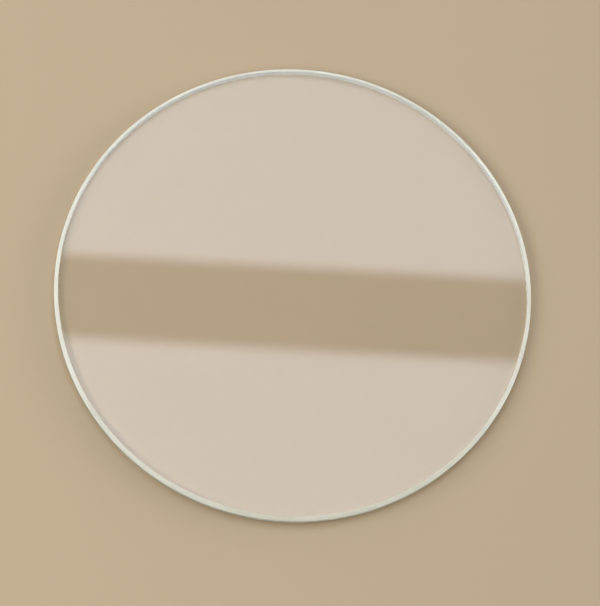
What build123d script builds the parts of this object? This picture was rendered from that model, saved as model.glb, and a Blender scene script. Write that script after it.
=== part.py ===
from build123d import *
import os

# A flat round watch crystal: one disc of mineral glass, all sizes in millimetres.
# The origin is the centre of the back face, which looks at the dial, and +Z points out of the front.

# The disc
diameter = 35.0  # over the ground edge, and the size that the case is cut for
thickness = 1.0  # from the back face to the front face

# The two small 45 degree bevels, each as wide across the face as it is high
front_bevel = 0.30
back_bevel = 0.30

# The fine rounding that polishing leaves on each ring where two surfaces meet
face_arris_radius = 0.05  # between a polished face and its bevel
edge_arris_radius = 0.03  # between a bevel and the ground edge


def half_section():
    """Half of the disc's section, drawn from the axis out, round the edge and back to the axis."""
    edge_radius = diameter / 2
    outline = FilletPolyline(
        (0, 0, 0),
        (edge_radius - back_bevel, 0, 0),
        (edge_radius, 0, back_bevel),
        (edge_radius, 0, thickness - front_bevel),
        (edge_radius - front_bevel, 0, thickness),
        (0, 0, thickness),
        radius=[face_arris_radius, edge_arris_radius, edge_arris_radius, face_arris_radius],
    )
    axis_side = Line((0, 0, thickness), (0, 0, 0))
    return make_face([outline, axis_side])


def crystal():
    """The whole glass: the half section turned once about the disc's axis."""
    return revolve(half_section(), axis=Axis.Z)


os.makedirs("parts", exist_ok=True)
export_step(crystal(), "parts/crystal.step")
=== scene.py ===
import bpy
import math
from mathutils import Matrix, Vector


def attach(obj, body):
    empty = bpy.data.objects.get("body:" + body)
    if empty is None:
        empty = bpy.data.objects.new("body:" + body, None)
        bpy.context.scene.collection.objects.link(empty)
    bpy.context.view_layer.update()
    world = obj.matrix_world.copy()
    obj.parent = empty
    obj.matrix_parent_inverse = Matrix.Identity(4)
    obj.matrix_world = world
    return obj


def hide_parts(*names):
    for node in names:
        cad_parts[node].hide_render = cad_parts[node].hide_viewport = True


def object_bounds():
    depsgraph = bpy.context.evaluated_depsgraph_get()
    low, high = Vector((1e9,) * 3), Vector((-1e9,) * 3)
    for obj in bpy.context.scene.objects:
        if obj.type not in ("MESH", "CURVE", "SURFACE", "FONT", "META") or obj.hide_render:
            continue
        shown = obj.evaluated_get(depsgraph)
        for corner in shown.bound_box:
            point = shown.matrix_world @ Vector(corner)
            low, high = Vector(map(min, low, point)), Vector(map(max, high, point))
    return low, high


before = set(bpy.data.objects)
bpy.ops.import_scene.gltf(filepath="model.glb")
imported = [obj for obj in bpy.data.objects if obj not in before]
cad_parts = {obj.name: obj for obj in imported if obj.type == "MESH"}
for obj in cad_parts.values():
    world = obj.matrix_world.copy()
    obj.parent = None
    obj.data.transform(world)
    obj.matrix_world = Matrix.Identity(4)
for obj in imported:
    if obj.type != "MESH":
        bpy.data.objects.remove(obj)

# A flat mineral glass watch crystal, lying face up on a plain floor under two soft boxes and four side
# lights. Blender works in metres, and mm turns the sizes below into them.
mm = 0.001
cadLow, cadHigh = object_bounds()
discRadius = (cadHigh.x - cadLow.x) / 2
discThickness = cadHigh.z - cadLow.z
print(f"frame loaded: a disc {discRadius * 2 / mm:.2f} mm across and {discThickness / mm:.2f} mm thick")


# Turns an sRGB hex colour into the linear colour that Blender's sockets take
def hexToLinear(hexColour):
    channels = [int(hexColour[i:i + 2], 16) / 255 for i in (1, 3, 5)]
    linear = [c / 12.92 if c <= 0.04045 else ((c + 0.055) / 1.055) ** 2.4 for c in channels]
    return (*linear, 1.0)


# Adds a node: settings are its own choices and its sockets' values, links are the sockets that feed it
def addNode(tree, kind, settings=None, links=None):
    node = tree.nodes.new(kind)
    for name, value in (settings or {}).items():
        if isinstance(name, str) and hasattr(node, name):
            setattr(node, name, value)
        else:
            node.inputs[name].default_value = value
    for name, source in (links or {}).items():
        tree.links.new(source, node.inputs[name])
    return node


def newMaterial(name):
    material = bpy.data.materials.new(name)
    material.use_nodes = True
    material.node_tree.nodes.clear()
    return material


def deselectAll():
    if bpy.context.mode != "OBJECT":
        bpy.ops.object.mode_set(mode="OBJECT")
    bpy.ops.object.select_all(action="DESELECT")


# Camera: at the photograph's angle, 71 degrees above the floor, and tilted a little to one side
camera = {
    "lens": 240.0,  # this and the sensor's width are in millimetres, as Blender's camera takes them
    "sensor": 36.0,
    "distance": 295.93 * mm,
    "elevation": math.radians(70.98),
    "roll": math.radians(9.355),
    "aim": Vector((0.638 * mm, -0.765 * mm, 0.5 * mm)),
    "nearest": 10 * mm,  # nothing nearer than this is drawn
    "farthest": 5.0,
}
bpy.ops.object.camera_add()
cameraObject = bpy.context.object
cameraObject.name = "photographAngle"
cameraObject.data.lens = camera["lens"]
cameraObject.data.sensor_width = camera["sensor"]
cameraObject.data.clip_start = camera["nearest"]
cameraObject.data.clip_end = camera["farthest"]
backwards = Vector((0, -math.cos(camera["elevation"]), math.sin(camera["elevation"])))
cameraObject.location = camera["aim"] + backwards * camera["distance"]
cameraObject.rotation_euler = (math.pi / 2 - camera["elevation"], 0, 0)
cameraObject.rotation_euler.rotate_axis("Z", camera["roll"])
bpy.context.scene.camera = cameraObject
print("camera placed")


# The crystal: one disc of glass with two small ground bevels and a ground edge
crystal = {
    "segments": 512,  # enough that the rim looks round when it is seen close up
    "bevel": 0.30 * mm,
    "faceArris": 0.0207 * mm,  # how far the rounding between a face and its bevel reaches
    "edgeArris": 0.0124 * mm,  # the same between a bevel and the ground edge
    "arrisSegments": 4,
    "arrisProfile": 0.5,  # round
    "supportRing": 0.06 * mm,  # the width of the ring of faces inside each polished face
    "ringTolerance": 0.004 * mm,  # how near to its radius and height a ring's points have to lie
    "smoothAngle": math.radians(30),  # edges sharper than this stay crisp
}


# Bevels the ring of edges that runs round the disc at a radius and a height
def bevelRing(piece, radius, height, width, segments):
    bpy.ops.object.mode_set(mode="EDIT")
    bpy.ops.mesh.select_mode(type="EDGE")
    bpy.ops.mesh.select_all(action="DESELECT")
    bpy.ops.object.mode_set(mode="OBJECT")
    near = crystal["ringTolerance"]
    for edge in piece.data.edges:
        ends = [piece.data.vertices[i].co for i in edge.vertices]
        edge.select = all(abs(end.xy.length - radius) < near and abs(end.z - height) < near for end in ends)
    bpy.ops.object.mode_set(mode="EDIT")
    bpy.ops.mesh.bevel(
        offset_type="OFFSET", offset=width, segments=segments, profile=crystal["arrisProfile"],
        affect="EDGES", clamp_overlap=False,
    )
    bpy.ops.object.mode_set(mode="OBJECT")


# A narrow ring inside each polished face keeps the shading of the face flat
def supportFaces(piece):
    bpy.ops.object.mode_set(mode="EDIT")
    bpy.ops.mesh.select_mode(type="FACE")
    bpy.ops.mesh.select_all(action="DESELECT")
    bpy.ops.object.mode_set(mode="OBJECT")
    for face in piece.data.polygons:
        face.select = len(face.vertices) > 4  # only the two polished faces have so many corners
    bpy.ops.object.mode_set(mode="EDIT")
    bpy.ops.mesh.inset(thickness=crystal["supportRing"], depth=0)
    bpy.ops.mesh.poke()
    bpy.ops.object.mode_set(mode="OBJECT")


def makeCrystal():
    deselectAll()
    bpy.ops.mesh.primitive_cylinder_add(
        vertices=crystal["segments"], radius=discRadius, depth=discThickness,
        location=(0, 0, cadLow.z + discThickness / 2), end_fill_type="NGON",
    )
    piece = bpy.context.object
    piece.name = "flatMineralCrystal"
    bpy.ops.object.transform_apply(location=True, rotation=True, scale=True)

    bevel = crystal["bevel"]
    for faceHeight, inward in ((cadHigh.z, -1), (cadLow.z, 1)):
        edgeHeight = faceHeight + inward * bevel
        bevelRing(piece, discRadius, faceHeight, bevel, 1)
        bevelRing(piece, discRadius - bevel, faceHeight, crystal["faceArris"], crystal["arrisSegments"])
        bevelRing(piece, discRadius, edgeHeight, crystal["edgeArris"], crystal["arrisSegments"])
    supportFaces(piece)
    bpy.ops.object.shade_smooth_by_angle(angle=crystal["smoothAngle"])
    return piece


crystalPiece = makeCrystal()
pointCount, faceCount = len(crystalPiece.data.vertices), len(crystalPiece.data.polygons)
print(f"crystal modelled: {pointCount} points, {faceCount} faces")


# Mineral glass, which is hardened window glass. The two faces are polished, so they are clear and mirror the
# soft boxes sharply. The bevels and the edge are ground with a fine wheel, which leaves a satin white line
# that scatters the light, with faint marks running round the rim. Long paths through the glass look slightly
# green.
glass = {
    "ior": 1.523,
    "tint": "#6FDFAE",
    "tintDensity": 2.0,  # per metre of glass
    "polished": {"colour": "#FFFFFF", "roughness": 0.0, "transmission": 1.0},
    "frontBevel": {"colour": "#FAFFF8", "roughness": 0.92, "transmission": 0.4},
    "backBevel": {"colour": "#FFFFFF", "roughness": 0.5, "transmission": 0.0},
    "edge": {"colour": "#D4DACF", "roughness": 0.8, "transmission": 0.97},
    "margin": 0.05 * mm,  # where the ground finish of a bevel fades into the polished face
    "polishedOver": 0.03 * mm,  # how far the polish of a face reaches onto its bevel
    "edgeBlend": 0.009 * mm,  # where the finish of a bevel turns into that of the edge
    "raggedness": 0.06 * mm,  # how far tiny chips move the line where the polish ends
    "chipSize": 0.35 * mm,
    "chipDetail": 3.0,
    "markLength": 3.0 * mm,
    "markWidth": 0.08 * mm,  # real marks are about 0.02 mm apart, too fine to show, so these are coarser
    "markRadiusShare": 0.4,  # across the rim the marks follow the height and this share of the radius
    "markDetail": 3.0,
    "markFineShare": 0.6,  # how strong the finer marks are beside the coarser ones
    "markDepth": 0.003 * mm,
    "markStrength": 0.5,  # how much of that depth shows in the shading
    "markRoughness": 0.16,  # how much smoother the glass is in a full mark
    "markShade": "#E8EDE6",  # the colour of the glass in a full mark
    "markShadeStart": 0.5,  # a weaker mark than this keeps the colour of the ground glass
    "markShadeFull": 0.8,
    "patchSize": 5.0 * mm,  # the wheel bites a little unevenly along the rim
    "patchDetail": 2.0,
    "patchLow": 0.3,  # the noise between these two gives the patches
    "patchHigh": 0.7,
    "patchTransmission": 0.12,  # how much clearer or less clear a patch makes the ground glass
}


# Blends two values or two colours, each either a fixed one or another node's
def blend(tree, kind, first, second, amount):
    firstSocket, secondSocket, resultSocket = (2, 3, 0) if kind == "FLOAT" else (6, 7, 2)
    fixed = {"data_type": kind}
    linked = {0: amount}
    for socket, value in ((firstSocket, first), (secondSocket, second)):
        target = linked if isinstance(value, bpy.types.NodeSocket) else fixed
        target[socket] = value
    return addNode(tree, "ShaderNodeMix", fixed, linked).outputs[resultSocket]


# Wheel marks: noise drawn out round the rim, and narrow across it
def wheelMarks(tree, outward, radius, height):
    around = addNode(tree, "ShaderNodeVectorMath", {"operation": "NORMALIZE"}, {0: outward}).outputs[0]
    alongMarks = addNode(
        tree, "ShaderNodeVectorMath",
        {"operation": "SCALE", "Scale": discRadius / glass["markLength"]}, {0: around},
    ).outputs[0]
    acrossRim = addNode(
        tree, "ShaderNodeMath", {"operation": "MULTIPLY_ADD", 1: glass["markRadiusShare"]},
        {0: radius, 2: height},
    ).outputs[0]
    acrossMarks = addNode(
        tree, "ShaderNodeMath", {"operation": "DIVIDE", 1: glass["markWidth"]}, {0: acrossRim},
    ).outputs[0]
    lifted = addNode(tree, "ShaderNodeCombineXYZ", None, {"Z": acrossMarks}).outputs[0]
    markPlace = addNode(
        tree, "ShaderNodeVectorMath", {"operation": "ADD"}, {0: alongMarks, 1: lifted},
    ).outputs[0]
    return addNode(
        tree, "ShaderNodeTexNoise",
        {"Scale": 1.0, "Detail": glass["markDetail"], "Roughness": glass["markFineShare"]},
        {"Vector": markPlace},
    ).outputs["Fac"]


# Where each finish lies, on the back half, on a bevel and on the edge: 1 on it and 0 off it
def finishZones(tree, place, radius, height):
    onBack = addNode(
        tree, "ShaderNodeMath", {"operation": "LESS_THAN", 1: cadLow.z + discThickness / 2}, {0: height},
    ).outputs[0]
    chips = addNode(
        tree, "ShaderNodeTexNoise", {"Scale": 1 / glass["chipSize"], "Detail": glass["chipDetail"]},
        {"Vector": place},
    ).outputs["Fac"]
    chippedRadius = addNode(
        tree, "ShaderNodeMath", {"operation": "MULTIPLY_ADD", 1: glass["raggedness"]},
        {0: chips, 2: radius},
    ).outputs[0]
    bevelFull = discRadius - crystal["bevel"] + glass["polishedOver"] + glass["raggedness"] / 2
    onBevel = addNode(
        tree, "ShaderNodeMapRange",
        {"interpolation_type": "SMOOTHSTEP", "From Min": bevelFull - glass["margin"],
         "From Max": bevelFull},
        {"Value": chippedRadius},
    ).outputs["Result"]
    edgeStart = discRadius - crystal["edgeArris"]
    onEdge = addNode(
        tree, "ShaderNodeMapRange", {"From Min": edgeStart, "From Max": edgeStart + glass["edgeBlend"]},
        {"Value": radius},
    ).outputs["Result"]
    return onBack, onBevel, onEdge


# One property of the finish over the whole surface: its colour, its roughness or its transmission
def finish(tree, zones, name):
    onBack, onBevel, onEdge = zones
    values = {zone: glass[zone][name] for zone in ("polished", "frontBevel", "backBevel", "edge")}
    kind = "FLOAT"
    if name == "colour":
        kind = "RGBA"
        values = {zone: hexToLinear(value) for zone, value in values.items()}
    bevels = blend(tree, kind, values["frontBevel"], values["backBevel"], onBack)
    inner = blend(tree, kind, values["polished"], bevels, onBevel)
    return blend(tree, kind, inner, values["edge"], onEdge)


def makeGlass():
    material = newMaterial("mineralGlassPolishedFacesGroundEdge")
    tree = material.node_tree
    place = addNode(tree, "ShaderNodeTexCoord").outputs["Object"]
    height = addNode(tree, "ShaderNodeSeparateXYZ", None, {"Vector": place}).outputs["Z"]
    outward = addNode(
        tree, "ShaderNodeVectorMath", {"operation": "MULTIPLY", 1: (1, 1, 0)}, {0: place},
    ).outputs[0]
    radius = addNode(tree, "ShaderNodeVectorMath", {"operation": "LENGTH"}, {0: outward}).outputs["Value"]
    marks = wheelMarks(tree, outward, radius, height)
    zones = finishZones(tree, place, radius, height)
    onBevel = zones[1]

    # The marks and patches change the ground finish only, so they are scaled by how ground the place is
    markAmount = addNode(
        tree, "ShaderNodeMath", {"operation": "MULTIPLY"}, {0: marks, 1: onBevel},
    ).outputs[0]
    markedColour = addNode(
        tree, "ShaderNodeMapRange",
        {"From Min": glass["markShadeStart"], "From Max": glass["markShadeFull"]}, {"Value": markAmount},
    ).outputs["Result"]
    colour = finish(tree, zones, "colour")
    shadedColour = blend(tree, "RGBA", colour, hexToLinear(glass["markShade"]), markedColour)
    roughness = addNode(
        tree, "ShaderNodeMath", {"operation": "MULTIPLY_ADD", 1: -glass["markRoughness"]},
        {0: markAmount, 2: finish(tree, zones, "roughness")},
    ).outputs[0]
    patches = addNode(
        tree, "ShaderNodeTexNoise", {"Scale": 1 / glass["patchSize"], "Detail": glass["patchDetail"]},
        {"Vector": place},
    ).outputs["Fac"]
    patchAmount = addNode(
        tree, "ShaderNodeMapRange",
        {"From Min": glass["patchLow"], "From Max": glass["patchHigh"],
         "To Min": -glass["patchTransmission"], "To Max": glass["patchTransmission"]},
        {"Value": patches},
    ).outputs["Result"]
    transmission = addNode(
        tree, "ShaderNodeMath", {"operation": "MULTIPLY_ADD", "use_clamp": True},
        {0: patchAmount, 1: onBevel, 2: finish(tree, zones, "transmission")},
    ).outputs[0]
    relief = addNode(
        tree, "ShaderNodeBump", {"Strength": glass["markStrength"], "Distance": glass["markDepth"]},
        {"Height": markAmount},
    ).outputs["Normal"]

    shader = addNode(
        tree, "ShaderNodeBsdfPrincipled", {"IOR": glass["ior"]},
        {"Base Color": shadedColour, "Roughness": roughness,
         "Transmission Weight": transmission, "Normal": relief},
    )
    body = addNode(
        tree, "ShaderNodeVolumeAbsorption",
        {"Color": hexToLinear(glass["tint"]), "Density": glass["tintDensity"]},
    )
    addNode(
        tree, "ShaderNodeOutputMaterial", None,
        {"Surface": shader.outputs["BSDF"], "Volume": body.outputs["Volume"]},
    )
    return material


crystalPiece.data.materials.append(makeGlass())
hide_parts("crystal")
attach(crystalPiece, "root")
print("glass made")


# The floor: a plain sand-coloured sheet, a hair below the glass
floor = {
    "size": 6.0,
    "gap": 0.05 * mm,
    "colour": "#BAA98E",
}


def makeFloor():
    deselectAll()
    bpy.ops.mesh.primitive_plane_add(size=floor["size"], location=(0, 0, cadLow.z - floor["gap"]))
    piece = bpy.context.object
    piece.name = "plainFloor"
    material = newMaterial("mattSandColouredPaper")
    tree = material.node_tree
    shader = addNode(tree, "ShaderNodeBsdfDiffuse", {"Color": hexToLinear(floor["colour"])})
    addNode(tree, "ShaderNodeOutputMaterial", None, {"Surface": shader.outputs["BSDF"]})
    piece.data.materials.append(material)


makeFloor()
print("floor laid")


# Two soft boxes side by side overhead. The flat glass mirrors them as two pale panels, with their dark rims
# between.
softBoxes = {
    "height": 500 * mm,
    "gapCentre": Vector((0, 170 * mm)),  # the middle of the line where the two boxes meet
    "turn": math.radians(6.5),
    "width": 400 * mm,
    "depth": 250 * mm,
    "rim": 7.0 * mm,  # the dark rim round the cloth
    "feather": 4.0 * mm,  # where the cloth brightens from its rim inwards
    "colour": "#EEF2FF",
    "brightness": 2.6,
}


# side is 1 for the box on the far side of the line where they meet, and -1 for the near one
def makeSoftBox(name, side):
    deselectAll()
    across = Vector((-math.sin(softBoxes["turn"]), math.cos(softBoxes["turn"])))
    centre = softBoxes["gapCentre"] + across * side * softBoxes["depth"] / 2
    bpy.ops.mesh.primitive_plane_add(size=1, location=(centre.x, centre.y, softBoxes["height"]))
    piece = bpy.context.object
    piece.name = name
    piece.scale = (softBoxes["width"], softBoxes["depth"], 1)
    bpy.ops.object.transform_apply(location=False, rotation=False, scale=True)
    piece.rotation_euler = (math.pi, 0, softBoxes["turn"])
    material = newMaterial(name + "Cloth")
    tree = material.node_tree
    place = addNode(tree, "ShaderNodeTexCoord").outputs["Object"]
    fromCentre = addNode(tree, "ShaderNodeVectorMath", {"operation": "ABSOLUTE"}, {0: place}).outputs[0]
    inside = addNode(
        tree, "ShaderNodeVectorMath",
        {"operation": "SUBTRACT", 0: (softBoxes["width"] / 2, softBoxes["depth"] / 2, 0)},
        {1: fromCentre},
    ).outputs[0]
    parts = addNode(tree, "ShaderNodeSeparateXYZ", None, {"Vector": inside})
    edgeDistance = addNode(
        tree, "ShaderNodeMath", {"operation": "MINIMUM"}, {0: parts.outputs["X"], 1: parts.outputs["Y"]},
    ).outputs[0]
    glow = addNode(
        tree, "ShaderNodeMapRange",
        {"interpolation_type": "SMOOTHSTEP", "From Min": softBoxes["rim"],
         "From Max": softBoxes["rim"] + softBoxes["feather"], "To Max": softBoxes["brightness"]},
        {"Value": edgeDistance},
    ).outputs["Result"]
    light = addNode(
        tree, "ShaderNodeEmission", {"Color": hexToLinear(softBoxes["colour"])}, {"Strength": glow},
    )
    addNode(tree, "ShaderNodeOutputMaterial", None, {"Surface": light.outputs["Emission"]})
    piece.data.materials.append(material)
    piece.visible_camera = False


makeSoftBox("farSoftBox", 1)
makeSoftBox("nearSoftBox", -1)
print("soft boxes hung")


# Four plain soft lights round the sides. They fill the shadows and light the ground rim.
sideLightColour = "#FFFAF4"
sideLights = {
    "rightLight": {"azimuth": math.radians(18), "elevation": math.radians(16), "distance": 600 * mm,
                   "width": 400 * mm, "height": 300 * mm, "brightness": 5.0},
    "farLight": {"azimuth": math.radians(100), "elevation": math.radians(20), "distance": 400 * mm,
                 "width": 267 * mm, "height": 200 * mm, "brightness": 2.2},
    "leftLight": {"azimuth": math.radians(178), "elevation": math.radians(35), "distance": 250 * mm,
                  "width": 167 * mm, "height": 125 * mm, "brightness": 2.7},
    "nearLeftLight": {"azimuth": math.radians(224), "elevation": math.radians(48), "distance": 250 * mm,
                      "width": 167 * mm, "height": 125 * mm, "brightness": 3.5},
}


def makeSideLight(name, light):
    towards = Vector((
        math.cos(light["elevation"]) * math.cos(light["azimuth"]),
        math.cos(light["elevation"]) * math.sin(light["azimuth"]),
        math.sin(light["elevation"]),
    ))
    deselectAll()
    bpy.ops.object.light_add(type="AREA", location=towards * light["distance"])
    piece = bpy.context.object
    piece.name = name
    piece.rotation_euler = towards.to_track_quat("Z", "Y").to_euler()
    piece.data.shape = "RECTANGLE"
    piece.data.size = light["width"]
    piece.data.size_y = light["height"]
    piece.data.energy = math.pi * light["width"] * light["height"] * light["brightness"]
    piece.data.color = hexToLinear(sideLightColour)[:3]
    piece.visible_glossy = False  # no hard bright patch on the mirror-flat face


for lightName, sideLight in sideLights.items():
    makeSideLight(lightName, sideLight)
print("side lights set")


# The room: one plain pale colour from every side, which lights the object less than it shows
room = {
    "colour": "#E4DBCB",
    "lighting": 0.2,
    "shown": 1.0,
    "shownUntil": 1,  # the room shows only to light that has met fewer matt surfaces than this
}


def makeRoom():
    world = bpy.data.worlds.new("plainRoom")
    world.use_nodes = True
    tree = world.node_tree
    tree.nodes.clear()
    path = addNode(tree, "ShaderNodeLightPath").outputs
    mirrored = addNode(
        tree, "ShaderNodeMath", {"operation": "MAXIMUM"},
        {0: path["Is Camera Ray"], 1: path["Is Glossy Ray"]},
    ).outputs[0]
    throughGlass = addNode(
        tree, "ShaderNodeMath", {"operation": "MAXIMUM"}, {0: mirrored, 1: path["Is Transmission Ray"]},
    ).outputs[0]
    # Light on its way to the floor through the glass counts as glossy too, and it must stay weak
    straight = addNode(
        tree, "ShaderNodeMath", {"operation": "LESS_THAN", 1: room["shownUntil"]},
        {0: path["Diffuse Depth"]},
    ).outputs[0]
    seen = addNode(
        tree, "ShaderNodeMath", {"operation": "MULTIPLY"}, {0: throughGlass, 1: straight},
    ).outputs[0]
    strength = addNode(
        tree, "ShaderNodeMapRange", {"To Min": room["lighting"], "To Max": room["shown"]}, {"Value": seen},
    ).outputs["Result"]
    backdrop = addNode(
        tree, "ShaderNodeBackground", {"Color": hexToLinear(room["colour"])}, {"Strength": strength},
    )
    addNode(tree, "ShaderNodeOutputWorld", None, {"Surface": backdrop.outputs["Background"]})
    bpy.context.scene.world = world


makeRoom()
print("room lit")


# How often light may bounce, in all and by kind of surface. It runs a long way between the two faces, so the
# limits are high, and any blur would darken the floor below the glass.
lightPaths = {
    "all": 32,
    "diffuse": 8,
    "glossy": 24,
    "transmission": 24,
    "blur": 0.0,
}
cycles = bpy.context.scene.cycles
cycles.max_bounces = lightPaths["all"]
cycles.diffuse_bounces = lightPaths["diffuse"]
cycles.glossy_bounces = lightPaths["glossy"]
cycles.transmission_bounces = lightPaths["transmission"]
cycles.blur_glossy = lightPaths["blur"]
bpy.context.scene.view_settings.view_transform = "Standard"
print("light paths set")
